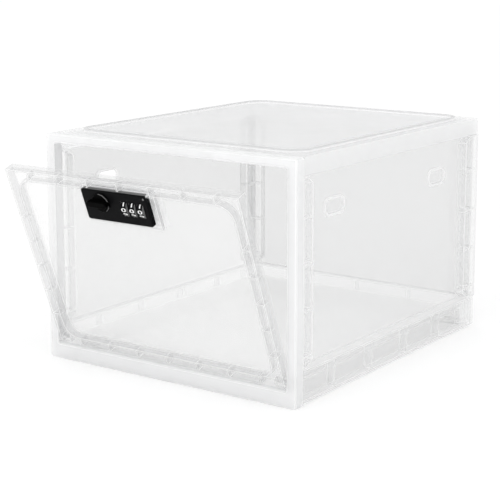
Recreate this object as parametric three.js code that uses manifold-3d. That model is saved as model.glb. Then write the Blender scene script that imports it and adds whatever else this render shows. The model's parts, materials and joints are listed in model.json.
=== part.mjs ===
// Medication lock box: six clear mouldings make the housing, and a drop-down front door carries a
// black combination lock whose turn knob swings a cam up behind the front frame's top rail.
// Millimetres, +Z up, +X right, the door faces -Y. The origin is the middle of the floor that the
// box covers with its door ajar, as it is shown here.
import * as THREE from "three";
import { mergeVertices } from "three/addons/utils/BufferGeometryUtils.js";
import Module from "manifold-3d";

const wasm = await Module();
wasm.setup();

// Housing as a whole.
const housingWidth = 287;
const housingDepth = 342;
const housingHeight = 220;
const wall = 2.2; // every clear moulding's sheets and walls
const ribThickness = 1.8;
const seatGap = 0.3; // between mouldings that seat on each other, and round fixed metal parts
const cutOverrun = 1; // how far a cutting solid runs past the face that it opens
const curveSteps = 6; // facets in a quarter of a small corner

// Front frame: a hollow bezel, open at the back, with the door's bearings in its stiles.
const frameDepth = 12.5;
const stileWidth = 10.5;
const topRailHeight = 9;
const bottomRailHeight = 15;
const frameCornerRadius = 2.5;
const openingCornerRadius = 1.5;
const frameEdgeRound = 1.6;
const frameProud = 1.5; // how far the frame stands out past the side panels
const bearingBlockHeight = 14;

// Box-section edge of the base, top and wall panels: the sheet lies this deep behind the outer face.
const channelDepth = 11;

// Base tray.
const baseHeight = 32;
const floorHeight = 20;
const footThickness = 3;
const footRise = 2; // underside of the outer flange above the edge that the box stands on
const traySideBays = 5;
const trayRearBays = 4;
const trayCornerRadius = 3;

// Top panel.
const skirtHeight = 16.5;
const ridgeHeight = 3;
const ridgeWidth = 2.4;
const ridgeInset = 13;
const ridgeCornerRadius = 20;

// Side and rear panels: a sheet with a ribbed rim at each upright edge.
const rimWidth = 16;
const rimChamferWidth = 10;
const rimChamferHeight = 7;
const lowestRimRib = 43.3;
const rimRibPitch = 41.2;
const rimRibCount = 4;

// Two slots in each side panel, each with a raised lip.
const slotLength = 30;
const slotHeight = 13;
const slotCornerRadius = 6;
const slotLipWidth = 2;
const slotLipHeight = 1.5;
const slotSpacing = 191;
const slotBelowTop = 52; // slot centre below the housing's top

// Door. Its bottom edge is fully round about the hinge line, so that it can drop flat.
const doorThickness = 11;
const doorSideGap = 1.6;
const doorTopGap = 1;
const doorFrontSetback = 0.5;
const hingeAboveRail = 6.2;
const doorOpenDegrees = 21.3;
const doorRimWidth = 9;
const doorRecessRadius = 14;
const doorTopRibPitch = 35;
const doorTopRibCount = 7;
const doorSideRibPitch = 27;
const doorSideRibCount = 5;
const doorSideRibDrop = 8; // the middle one lies this far below the recess's middle
const hingePinRadius = 2;
const hingePinLength = 14;
const hingePinReach = 6.5; // how much of a pin lies in the stile
const hingePinChamferShare = 0.25; // of the pin's radius
const hingeBossLength = 12;

// Lock place on the door, and the raised pad that it sits on.
const lockCentreX = -6;
const lockTopBelowDoorTop = 10.1;
const lockPadMargin = 5;
const lockPadHeight = 4.2;

// Lock plate: a black shell that the body of the lock fills from behind.
const plateWidth = 74.2;
const plateHeight = 31.2;
const plateThickness = 4.5;
const plateCornerRadius = 2.5;
const plateBevel = 1;
const plateInnerRadius = 1.2;
const plateFace = 1.4;
const plateRim = 1.6;

// Dials.
const dialCount = 3;
const dialPitch = 9.2;
const dialWidth = 6.4;
const dialRadius = 8.6;
const dialProud = 2;
const dialGrooveDepth = 0.5;
const dialDigits = 10;
const dialGrooveShare = 0.09; // of a digit's width, at each of its edges
const dialsFromRight = 17.9; // the middle dial from the plate's right end
const dialGap = 0.3;
const windowClearance = 0.3;
const shaftRadius = 1.5;
const shaftLeftReach = 3;

// Body of the lock: shallow behind the knob and deeper round the dials.
const bodyBackWall = 1.6;
const springThickness = 0.5;
const springDepth = 8;
const springPocketHeight = 2.2;
const springBend = 1.2;

// Turn knob with its spindle.
const knobFromLeft = 21.9; // from the plate's left end
const knobAboveCentre = 4.2;
const knobDiscRadius = 9.5;
const knobDiscThickness = 2;
const knobGripHeight = 4.3;
const knobGripWidth = 5.9;
const knobTailLength = 13;
const knobEdgeBevel = 0.7;
const spindleRadius = 3;

// Cam behind the door.
const bracketThickness = 1.2;
const bracketMarginX = 8;
const bracketMarginZ = 5;
const bracketCornerRadius = 3;
const camThickness = 2;
const camWidth = 10;
const camHubRadius = 6.5;
const camTopClearance = 1.2; // under the top sheet when the cam points up
const screwHeadRadius = 2.6;
const screwHeadHeight = 1.6;
const screwShankRadius = 1.2;
const screwShankLength = 6;
const camScrewHeadRadius = 4.4;
const camScrewHeadHeight = 2;
const camScrewShankRadius = 1.5;
const camScrewShankLength = 6;
const screwCrownShare = 0.35; // rounded share of a screw head's height

// Pin that is pressed to set a new code.
const resetPinRadius = 1;
const resetPinProud = 0.5;
const resetPinLength = 6;
const resetPinTravel = 1.2;
const resetPinFromRight = 3;
const resetPinFromTop = 3;
const resetPinBevelShare = 0.5; // of how much the pin stands proud

// Worked-out sizes that several pieces share.
const panelHalfWidth = housingWidth / 2 - frameProud;
const innerHalfWidth = panelHalfWidth - channelDepth;
const panelFront = frameDepth + seatGap;
const innerRear = housingDepth - channelDepth;
const skirtBottom = housingHeight - skirtHeight;
const panelBottom = baseHeight + seatGap;
const panelTop = skirtBottom - seatGap;
const openingHalfWidth = housingWidth / 2 - stileWidth;
const openingTop = housingHeight - topRailHeight;
const hingeHeight = bottomRailHeight + hingeAboveRail;
const hingeDepth = doorFrontSetback + doorThickness / 2;
const doorHalfWidth = openingHalfWidth - doorSideGap;
const doorTop = openingTop - doorTopGap - hingeHeight; // above the hinge line
const doorBack = doorThickness / 2;
const doorAngle = THREE.MathUtils.degToRad(doorOpenDegrees);
const rimRibHeights = Array.from({ length: rimRibCount }, (_, i) => lowestRimRib + i * rimRibPitch);

// Materials.
const clear = { color: 0xe6e9ea, roughness: 0.12, metalness: 0, transparent: true, opacity: 0.35 };
const frosted = { color: 0xf4f5f5, roughness: 0.4, metalness: 0, transparent: true, opacity: 0.7 };
const white = { color: 0xeeeeec, roughness: 0.5, metalness: 0 };
const black = { color: 0x17171a, roughness: 0.38, metalness: 0 };
const steel = { color: 0xb9bcc0, roughness: 0.3, metalness: 1 };

// A three.js geometry as a solid that can be joined and cut.
function solid(geometry) {
  geometry.deleteAttribute("normal");
  geometry.deleteAttribute("uv");
  const merged = mergeVertices(geometry);
  return new wasm.Manifold(
    new wasm.Mesh({
      numProp: 3,
      vertProperties: new Float32Array(merged.attributes.position.array),
      triVerts: new Uint32Array(merged.index.array),
    }),
  );
}

// A solid as a named mesh.
function mesh(name, body, look) {
  const data = body.getMesh();
  const geometry = new THREE.BufferGeometry();
  geometry.setAttribute("position", new THREE.BufferAttribute(data.vertProperties, 3));
  geometry.setIndex(new THREE.BufferAttribute(data.triVerts, 1));
  geometry.computeVertexNormals();
  const made = new THREE.Mesh(geometry, new THREE.MeshStandardMaterial(look));
  made.name = name;
  return made;
}

const join = (bodies) => bodies.reduce((a, b) => a.add(b));
const cut = (body, tools) => tools.reduce((a, b) => a.subtract(b), body);
const steps = (count, pitch) => Array.from({ length: count }, (_, i) => (i - (count - 1) / 2) * pitch);

// Outline of a rectangle from (x0, y0) to (x1, y1) with round corners.
function roundedRectangle(x0, y0, x1, y1, radius) {
  const shape = new THREE.Shape();
  shape.moveTo(x0 + radius, y0);
  shape.lineTo(x1 - radius, y0);
  shape.absarc(x1 - radius, y0 + radius, radius, -Math.PI / 2, 0, false);
  shape.lineTo(x1, y1 - radius);
  shape.absarc(x1 - radius, y1 - radius, radius, 0, Math.PI / 2, false);
  shape.lineTo(x0 + radius, y1);
  shape.absarc(x0 + radius, y1 - radius, radius, Math.PI / 2, Math.PI, false);
  shape.lineTo(x0, y0 + radius);
  shape.absarc(x0 + radius, y0 + radius, radius, Math.PI, 1.5 * Math.PI, false);
  return shape;
}

function circle(x, y, radius) {
  const shape = new THREE.Shape();
  shape.absarc(x, y, radius, 0, 2 * Math.PI, false);
  return shape;
}

function polygon(points) {
  return new THREE.Shape(points.map(([x, y]) => new THREE.Vector2(x, y)));
}

// How an outline drawn on the page lies for each direction of extrusion: for x the page shows
// (y, z), for y it shows (x, z) and for z it shows (x, y).
const X = new THREE.Vector3(1, 0, 0);
const Y = new THREE.Vector3(0, 1, 0);
const Z = new THREE.Vector3(0, 0, 1);
const lie = {
  x: { basis: new THREE.Matrix4().makeBasis(Y, Z, X), start: (from) => X.clone().multiplyScalar(from) },
  y: {
    basis: new THREE.Matrix4().makeBasis(X, Z, Y.clone().negate()),
    start: (from, to) => Y.clone().multiplyScalar(to),
  },
  z: { basis: new THREE.Matrix4(), start: (from) => Z.clone().multiplyScalar(from) },
};

// Solid of an outline between two places along an axis. With a bevel, both ends are rounded off
// by that much, inside the outline.
function prism(shape, axis, from, to, bevel = 0, rounds = 2) {
  const geometry = new THREE.ExtrudeGeometry(shape, {
    depth: to - from - 2 * bevel,
    curveSegments: curveSteps,
    bevelEnabled: bevel > 0,
    bevelThickness: bevel,
    bevelSize: bevel,
    bevelOffset: -bevel,
    bevelSegments: rounds,
  });
  geometry.translate(0, 0, bevel);
  geometry.applyMatrix4(lie[axis].basis);
  const start = lie[axis].start(from, to);
  geometry.translate(start.x, start.y, start.z);
  return solid(geometry);
}

function block(x0, x1, y0, y1, z0, z1) {
  const geometry = new THREE.BoxGeometry(x1 - x0, y1 - y0, z1 - z0);
  geometry.translate((x0 + x1) / 2, (y0 + y1) / 2, (z0 + z1) / 2);
  return solid(geometry);
}

// Front frame: bezel with a moulded channel behind, and a bearing bore in each lower corner.
function frontFrame() {
  const half = housingWidth / 2;
  const outline = roundedRectangle(-half, 0, half, housingHeight, frameCornerRadius);
  const opening = [-openingHalfWidth, bottomRailHeight, openingHalfWidth, openingTop];
  outline.holes.push(roundedRectangle(...opening, openingCornerRadius));
  const bezel = prism(outline, "y", 0, frameDepth, frameEdgeRound, 3);
  const channel = roundedRectangle(-half + wall, wall, half - wall, housingHeight - wall, wall);
  const [left, bottom, right, top] = opening;
  const kept = roundedRectangle(left - wall, bottom - wall, right + wall, top + wall, wall);
  const hollow = prism(channel, "y", wall, frameDepth + cutOverrun).subtract(
    prism(kept, "y", 0, frameDepth + 2 * cutOverrun),
  );
  const bearingBottom = hingeHeight - bearingBlockHeight / 2;
  const bearingTop = bearingBottom + bearingBlockHeight;
  const bearings = block(-half, half, 0, frameDepth + 2 * cutOverrun, bearingBottom, bearingTop);
  const bore = prism(
    circle(hingeDepth, hingeHeight, hingePinRadius + seatGap),
    "x",
    -openingHalfWidth - hingePinReach - seatGap,
    openingHalfWidth + hingePinReach + seatGap,
  );
  return cut(bezel, [hollow.subtract(bearings), bore]);
}

// Cells of a ribbed channel that runs along both sides and the rear of a tray, between z0 and z1.
// reach is how far the cells run outwards, from the inner wall. The inner walls run on through the
// corners, so that each corner has a cell of its own, and a further rib stands in line with the
// inner wall of each rear rim.
function trayCells(reach, z0, z1) {
  const inner = innerHalfWidth + wall;
  const outer = inner + reach;
  const rearInner = innerRear + wall;
  const rearOuter = rearInner + reach;
  const front = panelFront + wall;
  const cells = join([
    block(inner, outer, front, rearOuter, z0, z1),
    block(-outer, -inner, front, rearOuter, z0, z1),
    block(-outer, outer, rearInner, rearOuter, z0, z1),
  ]);
  const half = ribThickness / 2;
  const sideBay = innerRear / traySideBays;
  const sideRibs = steps(traySideBays - 1, sideBay).map((y) => {
    const middle = y + innerRear / 2;
    return block(-outer, outer, middle - half, middle + half, z0, z1);
  });
  const rimFront = innerRear - seatGap - rimWidth;
  const rimRib = block(-outer, outer, rimFront, rimFront + ribThickness, z0, z1);
  const rearBay = (2 * innerHalfWidth) / trayRearBays;
  const rearRibs = steps(trayRearBays - 1, rearBay).map((x) =>
    block(x - half, x + half, rearInner, rearOuter, z0, z1),
  );
  const cornerWalls = [
    block(-outer, outer, innerRear, rearInner, z0, z1),
    block(innerHalfWidth, inner, innerRear, rearOuter, z0, z1),
    block(-inner, -innerHalfWidth, innerRear, rearOuter, z0, z1),
  ];
  return cut(cells, [...sideRibs, rimRib, ...rearRibs, ...cornerWalls]);
}

function trayOutline() {
  return roundedRectangle(-panelHalfWidth, panelFront, panelHalfWidth, housingDepth, trayCornerRadius);
}

// Base: a floor inside a wall whose outside is a ribbed channel between a ledge and a flange. Each
// rear corner is a hollow post, closed outside and open below. The wall's lower edge runs on below
// the flange, and the box stands on it.
function basePanel() {
  const body = prism(trayOutline(), "z", 0, baseHeight);
  const front = panelFront - cutOverrun;
  const above = baseHeight + cutOverrun;
  const inside = block(-innerHalfWidth, innerHalfWidth, front, innerRear, floorHeight, above);
  const under = block(
    -innerHalfWidth,
    innerHalfWidth,
    panelFront + wall,
    innerRear,
    -cutOverrun,
    floorHeight - wall,
  );
  const cells = trayCells(channelDepth + cutOverrun, footRise + footThickness, baseHeight - wall);
  const inner = innerHalfWidth + wall;
  const outer = panelHalfWidth + cutOverrun;
  const rear = housingDepth + cutOverrun;
  const belowFlange = [
    block(inner, outer, front, rear, -cutOverrun, footRise),
    block(-outer, -inner, front, rear, -cutOverrun, footRise),
    block(-outer, outer, innerRear + wall, rear, -cutOverrun, footRise),
  ];
  const corner = block(inner, outer, innerRear + wall, rear, footRise, baseHeight).intersect(body);
  const cornerHollow = block(
    inner,
    panelHalfWidth - wall,
    innerRear + wall,
    housingDepth - wall,
    -cutOverrun,
    baseHeight - wall,
  );
  const posts = corner.add(corner.mirror([1, 0, 0]));
  const tray = cut(body, [inside, under, cells, ...belowFlange]).add(posts);
  return cut(tray, [cornerHollow, cornerHollow.mirror([1, 0, 0])]);
}

// Top: a sheet with a skirt of two walls and ribs on three sides, and a ridge that locates the
// foot of another box.
function topPanel() {
  const body = prism(trayOutline(), "z", skirtBottom, housingHeight);
  const sheetUnder = housingHeight - wall;
  const inside = block(
    -innerHalfWidth,
    innerHalfWidth,
    panelFront - cutOverrun,
    innerRear,
    skirtBottom - cutOverrun,
    sheetUnder,
  );
  const cells = trayCells(channelDepth - 2 * wall, skirtBottom - cutOverrun, sheetUnder);
  const half = panelHalfWidth - ridgeInset;
  const edges = [-half, panelFront + ridgeInset, half, housingDepth - ridgeInset];
  const ridge = roundedRectangle(...edges, ridgeCornerRadius);
  const [x0, y0, x1, y1] = edges;
  const w = ridgeWidth;
  ridge.holes.push(roundedRectangle(x0 + w, y0 + w, x1 - w, y1 - w, ridgeCornerRadius - w));
  const raised = prism(ridge, "z", sheetUnder, housingHeight + ridgeHeight);
  return cut(body, [inside, cells]).add(raised);
}

// Outline of an upright ribbed rim that is rimWidth wide from a, towards b, with its inner corners
// cut off, and an open cell between each two ribs.
function rimOutline(a, direction, bottom, top) {
  const at = (offset) => a + direction * offset;
  const ring = (inset) => [
    [at(inset), bottom + inset],
    [at(rimWidth - rimChamferWidth), bottom + inset],
    [at(rimWidth - inset), bottom + rimChamferHeight],
    [at(rimWidth - inset), top - rimChamferHeight],
    [at(rimWidth - rimChamferWidth), top - inset],
    [at(inset), top - inset],
  ];
  return { outer: ring(0), inner: ring(wall) };
}

// The rim as a solid between two places along an axis.
function ribbedRim(a, direction, axis, from, to) {
  const { outer, inner } = rimOutline(a, direction, panelBottom, panelTop);
  const body = prism(polygon(outer), axis, from, to);
  const cells = prism(polygon(inner), axis, from - cutOverrun, to + cutOverrun);
  const reach = 2 * cutOverrun;
  const half = ribThickness / 2;
  const near = a - direction * reach;
  const far = a + direction * (rimWidth + reach);
  const ribs = rimRibHeights.map((z) =>
    prism(
      polygon([
        [near, z - half],
        [far, z - half],
        [far, z + half],
        [near, z + half],
      ]),
      axis,
      from - reach,
      to + reach,
    ),
  );
  return cut(body, [cut(cells, ribs)]);
}

// A side panel, drawn for the right side; side is 1 for right and -1 for left.
function sidePanel(side) {
  const rear = innerRear - seatGap;
  const sheet = block(innerHalfWidth, innerHalfWidth + wall, panelFront, rear, panelBottom, panelTop);
  const rims = [
    ribbedRim(panelFront, 1, "x", innerHalfWidth, panelHalfWidth),
    ribbedRim(rear, -1, "x", innerHalfWidth, panelHalfWidth),
  ];
  const slotZ = housingHeight - slotBelowTop;
  const slotYs = steps(2, slotSpacing).map((y) => y + housingDepth / 2);
  const slotBox = (y, grow) => [
    y - slotLength / 2 - grow,
    slotZ - slotHeight / 2 - grow,
    y + slotLength / 2 + grow,
    slotZ + slotHeight / 2 + grow,
  ];
  const lips = slotYs.map((y) =>
    prism(
      roundedRectangle(...slotBox(y, slotLipWidth), slotCornerRadius + slotLipWidth),
      "x",
      innerHalfWidth,
      innerHalfWidth + wall + slotLipHeight,
    ),
  );
  const slots = slotYs.map((y) =>
    prism(
      roundedRectangle(...slotBox(y, 0), slotCornerRadius),
      "x",
      innerHalfWidth - cutOverrun,
      innerHalfWidth + wall + slotLipHeight + cutOverrun,
    ),
  );
  const right = cut(join([sheet, ...rims, ...lips]), slots);
  return side > 0 ? right : right.mirror([1, 0, 0]);
}

// Rear panel: the same section as the side panels, between the base and the top.
function rearPanel() {
  const sheet = block(-panelHalfWidth, panelHalfWidth, innerRear, innerRear + wall, panelBottom, panelTop);
  return join([
    sheet,
    ribbedRim(panelHalfWidth, -1, "y", innerRear, housingDepth),
    ribbedRim(-panelHalfWidth, 1, "y", innerRear, housingDepth),
  ]);
}

// The door and the lock are drawn with the hinge line at the origin, the door upright, its front
// face at -doorThickness / 2 and its back face at +doorThickness / 2.
const plateTop = doorTop - lockTopBelowDoorTop;
const plateCentreZ = plateTop - plateHeight / 2;
const recessEdge = doorRimWidth + wall; // from the door's outer face to its recess
const sheetFront = doorBack - wall;
const padFront = sheetFront - lockPadHeight;
const plateBack = padFront - seatGap;
const plateFront = plateBack - plateThickness;
const bodyFront = plateFront + plateFace + seatGap;
const bodyHalfWidth = plateWidth / 2 - plateRim - seatGap;
const bodyHalfHeight = plateHeight / 2 - plateRim - seatGap;
const dialAxisY = plateFront - dialProud + dialRadius;
const dialsX = lockCentreX + plateWidth / 2 - dialsFromRight;
const dialXs = steps(dialCount, dialPitch).map((x) => dialsX + x);
const slotHalfWidth = dialWidth / 2 + dialGap;
const dialPocketRadius = dialRadius + dialGap;
const deepBodyBack = dialAxisY + dialPocketRadius + bodyBackWall;
const deepBodyLeft = dialXs[0] - slotHalfWidth - 2 * bodyBackWall;
const knobX = lockCentreX - plateWidth / 2 + knobFromLeft;
const knobZ = plateCentreZ + knobAboveCentre;
const bracketFront = doorBack + seatGap;
const bracketBack = bracketFront + bracketThickness;
const camFront = bracketBack + seatGap;
const camBack = camFront + camThickness;
const camLength = housingHeight - wall - camTopClearance - hingeHeight - knobZ;
const screwZ = plateCentreZ - bodyHalfHeight + screwHeadRadius;
const screwXs = [lockCentreX - bodyHalfWidth + screwHeadRadius, deepBodyLeft - seatGap - 2 * screwHeadRadius];
const resetX = lockCentreX + plateWidth / 2 - resetPinFromRight;
const resetZ = plateTop - resetPinFromTop;

// Door: a thick panel hollowed from the front into a large recess with round corners, and round it
// a channel with ribs. A hollow pad in the recess carries the lock, whose plate stands through a
// notch in the wall between the recess and the channel.
function doorPanel() {
  const profile = new THREE.Shape();
  profile.moveTo(doorBack, 0);
  profile.lineTo(doorBack, doorTop);
  profile.lineTo(-doorBack, doorTop);
  profile.lineTo(-doorBack, 0);
  profile.absarc(0, 0, doorBack, Math.PI, 2 * Math.PI, false);
  const body = prism(profile, "x", -doorHalfWidth, doorHalfWidth);
  const front = -doorBack - cutOverrun;
  const half = doorHalfWidth - recessEdge;
  const bottom = recessEdge - doorBack;
  const top = doorTop - recessEdge;
  const recessOutline = (grow) =>
    roundedRectangle(-half - grow, bottom - grow, half + grow, top + grow, doorRecessRadius + grow);
  const recess = prism(recessOutline(0), "y", front, sheetFront);
  const outer = doorHalfWidth - wall;
  const channelOutline = polygon([
    [-outer, wall - doorBack],
    [outer, wall - doorBack],
    [outer, doorTop - wall],
    [-outer, doorTop - wall],
  ]);
  const ribHalf = ribThickness / 2;
  const far = doorBack + 2 * cutOverrun;
  const middleZ = (bottom + top) / 2 - doorSideRibDrop;
  const upright = steps(doorTopRibCount, doorTopRibPitch).map((x) =>
    block(x - ribHalf, x + ribHalf, -far, far, -doorTop, 2 * doorTop),
  );
  const level = steps(doorSideRibCount, doorSideRibPitch).map((z) =>
    block(-doorHalfWidth, doorHalfWidth, -far, far, middleZ + z - ribHalf, middleZ + z + ribHalf),
  );
  const bossEnd = doorHalfWidth - hingeBossLength;
  const boss = prism(circle(0, 0, hingePinRadius + seatGap + wall), "x", bossEnd, doorHalfWidth);
  const channel = cut(prism(channelOutline, "y", front, sheetFront), [
    prism(recessOutline(wall), "y", front - cutOverrun, doorBack),
    ...upright,
    ...level,
    boss,
    boss.mirror([1, 0, 0]),
  ]);
  const padHalf = plateWidth / 2 + lockPadMargin;
  const padBottom = plateTop - plateHeight - lockPadMargin;
  const pad = block(
    lockCentreX - padHalf,
    lockCentreX + padHalf,
    padFront,
    doorBack,
    padBottom,
    top + wall / 2,
  );
  const padHollow = block(
    lockCentreX - padHalf + wall,
    lockCentreX + padHalf - wall,
    padFront + wall,
    doorBack + cutOverrun,
    padBottom + wall,
    top - wall,
  );
  const bodyHole = block(
    lockCentreX - bodyHalfWidth - seatGap,
    lockCentreX + bodyHalfWidth + seatGap,
    padFront - cutOverrun,
    doorBack,
    plateCentreZ - bodyHalfHeight - seatGap,
    plateCentreZ + bodyHalfHeight + seatGap,
  );
  const pinBore = prism(
    circle(0, 0, hingePinRadius + seatGap),
    "x",
    openingHalfWidth + hingePinReach - hingePinLength - seatGap,
    doorHalfWidth + cutOverrun,
  );
  const plateNotch = block(
    lockCentreX - plateWidth / 2 - seatGap,
    lockCentreX + plateWidth / 2 + seatGap,
    front,
    padFront,
    plateCentreZ,
    top + wall,
  );
  const padded = cut(body, [recess, channel]).add(pad);
  return cut(padded, [plateNotch, padHollow, bodyHole, pinBore, pinBore.mirror([1, 0, 0])]);
}

function hingePin() {
  const end = openingHalfWidth + hingePinReach;
  const chamfer = hingePinRadius * hingePinChamferShare;
  return prism(circle(0, 0, hingePinRadius), "x", end - hingePinLength, end, chamfer, 1);
}

// Plate outline grown or shrunk all round.
function plateOutline(grow, radius) {
  return roundedRectangle(
    lockCentreX - plateWidth / 2 - grow,
    plateCentreZ - plateHeight / 2 - grow,
    lockCentreX + plateWidth / 2 + grow,
    plateCentreZ + plateHeight / 2 + grow,
    radius,
  );
}

function lockPlate() {
  const past = plateBack + plateBevel;
  const shell = prism(plateOutline(0, plateCornerRadius), "y", plateFront, past, plateBevel, 1);
  const trim = prism(plateOutline(cutOverrun, plateCornerRadius), "y", plateBack, past + cutOverrun);
  const faceBack = plateFront + plateFace;
  const inner = plateOutline(-plateRim, plateInnerRadius);
  const hollow = prism(inner, "y", faceBack, plateBack + cutOverrun);
  const windowHalfHeight = Math.sqrt(dialRadius ** 2 - (dialAxisY - faceBack) ** 2) + windowClearance;
  const windows = dialXs.map((x) =>
    block(
      x - slotHalfWidth,
      x + slotHalfWidth,
      plateFront - cutOverrun,
      plateBack,
      plateCentreZ - windowHalfHeight,
      plateCentreZ + windowHalfHeight,
    ),
  );
  const hole = (x, z, radius) => prism(circle(x, z, radius), "y", plateFront - cutOverrun, plateBack);
  const spindleHole = hole(knobX, knobZ, spindleRadius + seatGap);
  const resetHole = hole(resetX, resetZ, resetPinRadius + seatGap);
  return cut(shell, [trim, hollow, ...windows, spindleHole, resetHole]);
}

function lockBody() {
  const left = lockCentreX - bodyHalfWidth;
  const right = lockCentreX + bodyHalfWidth;
  const bottom = plateCentreZ - bodyHalfHeight;
  const top = plateCentreZ + bodyHalfHeight;
  const shallow = block(left, right, bodyFront, doorBack, bottom, top);
  const deep = block(deepBodyLeft, right, bodyFront, deepBodyBack, bottom, top);
  const pockets = dialXs.map((x) =>
    prism(circle(dialAxisY, plateCentreZ, dialPocketRadius), "x", x - slotHalfWidth, x + slotHalfWidth),
  );
  const shaftBore = prism(
    circle(dialAxisY, plateCentreZ, shaftRadius + seatGap),
    "x",
    dialXs[0] - slotHalfWidth - shaftLeftReach - seatGap,
    right + cutOverrun,
  );
  const springPocket = block(
    dialXs[0] - slotHalfWidth,
    dialXs[dialCount - 1] + slotHalfWidth,
    dialAxisY - springDepth / 2 - seatGap,
    dialAxisY + springDepth / 2 + seatGap,
    plateCentreZ - dialPocketRadius - springPocketHeight,
    plateCentreZ - dialRadius,
  );
  const spindleBore = prism(
    circle(knobX, knobZ, spindleRadius + seatGap),
    "y",
    bodyFront - cutOverrun,
    doorBack + cutOverrun,
  );
  const screwBores = screwXs.map((x) =>
    prism(
      circle(x, screwZ, screwShankRadius + seatGap),
      "y",
      bracketBack - screwShankLength - seatGap,
      doorBack + cutOverrun,
    ),
  );
  const resetBore = prism(
    circle(resetX, resetZ, resetPinRadius + seatGap),
    "y",
    bodyFront - cutOverrun,
    plateFront - resetPinProud + resetPinLength + resetPinTravel + seatGap,
  );
  const outline = plateOutline(-plateRim - seatGap, plateInnerRadius);
  const rounded = shallow.add(deep).intersect(prism(outline, "y", bodyFront, deepBodyBack));
  return cut(rounded, [...pockets, shaftBore, springPocket, spindleBore, ...screwBores, resetBore]);
}

// Dial: a wheel with a flat for each digit and a groove between each two. A flat faces straight
// forward.
function dial(x) {
  const shape = new THREE.Shape();
  const flat = (2 * Math.PI) / dialDigits;
  for (let i = 0; i < dialDigits; i++) {
    const corners = [
      [0, dialRadius - dialGrooveDepth],
      [dialGrooveShare, dialRadius],
      [1 / 2, dialRadius],
      [1 - dialGrooveShare, dialRadius],
    ];
    for (const [share, radius] of corners) {
      const angle = flat * (i + share - 1 / 2);
      const point = [dialAxisY + radius * Math.cos(angle), plateCentreZ + radius * Math.sin(angle)];
      if (i === 0 && share === 0) shape.moveTo(...point);
      else shape.lineTo(...point);
    }
  }
  shape.holes.push(circle(dialAxisY, plateCentreZ, shaftRadius + seatGap));
  return prism(shape, "x", x - dialWidth / 2, x + dialWidth / 2, dialGrooveDepth, 1);
}

function dialShaft() {
  return prism(
    circle(dialAxisY, plateCentreZ, shaftRadius),
    "x",
    dialXs[0] - slotHalfWidth - shaftLeftReach,
    lockCentreX + bodyHalfWidth - seatGap,
  );
}

// Leaf spring whose hump presses on the dials from below.
function detentSpring() {
  const crest = plateCentreZ - dialRadius - seatGap;
  const half = springDepth / 2;
  const t = springThickness;
  const outline = polygon([
    [dialAxisY - half, crest - springBend - t],
    [dialAxisY - t, crest - t],
    [dialAxisY + t, crest - t],
    [dialAxisY + half, crest - springBend - t],
    [dialAxisY + half, crest - springBend],
    [dialAxisY + t, crest],
    [dialAxisY - t, crest],
    [dialAxisY - half, crest - springBend],
  ]);
  return prism(
    outline,
    "x",
    dialXs[0] - dialWidth / 2,
    dialXs[dialCount - 1] + dialWidth / 2,
  );
}

// Turn knob: a disc with a pointer grip whose tail reaches past it, and the spindle behind.
function knob() {
  const discBack = plateFront - seatGap;
  const discFront = discBack - knobDiscThickness;
  const disc = prism(circle(knobX, knobZ, knobDiscRadius), "y", discFront, discBack, knobEdgeBevel, 1);
  const gripHalf = knobGripWidth / 2;
  const grip = new THREE.Shape();
  const nose = knobX + knobDiscRadius - gripHalf;
  const tail = knobX - knobTailLength + gripHalf;
  grip.moveTo(tail, knobZ - gripHalf);
  grip.lineTo(nose, knobZ - gripHalf);
  grip.absarc(nose, knobZ, gripHalf, -Math.PI / 2, Math.PI / 2, false);
  grip.lineTo(tail, knobZ + gripHalf);
  grip.absarc(tail, knobZ, gripHalf, Math.PI / 2, 1.5 * Math.PI, false);
  const discMiddle = discBack - knobDiscThickness / 2;
  const bar = prism(grip, "y", discFront - knobGripHeight, discMiddle, knobEdgeBevel, 2);
  const spindle = prism(circle(knobX, knobZ, spindleRadius), "y", discMiddle, camBack);
  const thread = prism(
    circle(knobX, knobZ, camScrewShankRadius + seatGap),
    "y",
    camBack - camScrewShankLength,
    camBack + cutOverrun,
  );
  return cut(join([disc, bar, spindle]), [thread]);
}

// Clamp plate behind the door that holds the lock.
function lockBracket() {
  const outline = roundedRectangle(
    lockCentreX - plateWidth / 2 - bracketMarginX,
    plateCentreZ - plateHeight / 2 - bracketMarginZ,
    lockCentreX + plateWidth / 2 + bracketMarginX,
    plateCentreZ + plateHeight / 2 + bracketMarginZ,
    bracketCornerRadius,
  );
  const body = prism(outline, "y", bracketFront, bracketBack);
  const bodyHole = block(
    deepBodyLeft - seatGap,
    lockCentreX + bodyHalfWidth + seatGap,
    bracketFront - cutOverrun,
    bracketBack + cutOverrun,
    plateCentreZ - bodyHalfHeight - seatGap,
    plateCentreZ + bodyHalfHeight + seatGap,
  );
  const hole = (x, z, radius) =>
    prism(circle(x, z, radius), "y", bracketFront - cutOverrun, bracketBack + cutOverrun);
  return cut(body, [
    bodyHole,
    hole(knobX, knobZ, spindleRadius + seatGap),
    ...screwXs.map((x) => hole(x, screwZ, screwShankRadius + seatGap)),
  ]);
}

// Round-headed screw with its head behind a plate at y, pointing forwards.
function screw(x, z, y, headRadius, headHeight, shankRadius, shankLength) {
  const head = prism(circle(x, z, headRadius), "y", y, y + headHeight, headHeight * screwCrownShare, 1);
  const shank = prism(circle(x, z, shankRadius), "y", y - shankLength, y + headHeight / 2);
  return head.add(shank);
}

function bracketScrew(x) {
  const y = bracketBack + seatGap;
  return screw(x, screwZ, y, screwHeadRadius, screwHeadHeight, screwShankRadius, screwShankLength);
}

function camScrew() {
  const y = camBack + seatGap;
  const length = camScrewShankLength;
  return screw(knobX, knobZ, y, camScrewHeadRadius, camScrewHeadHeight, camScrewShankRadius, length);
}

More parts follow.
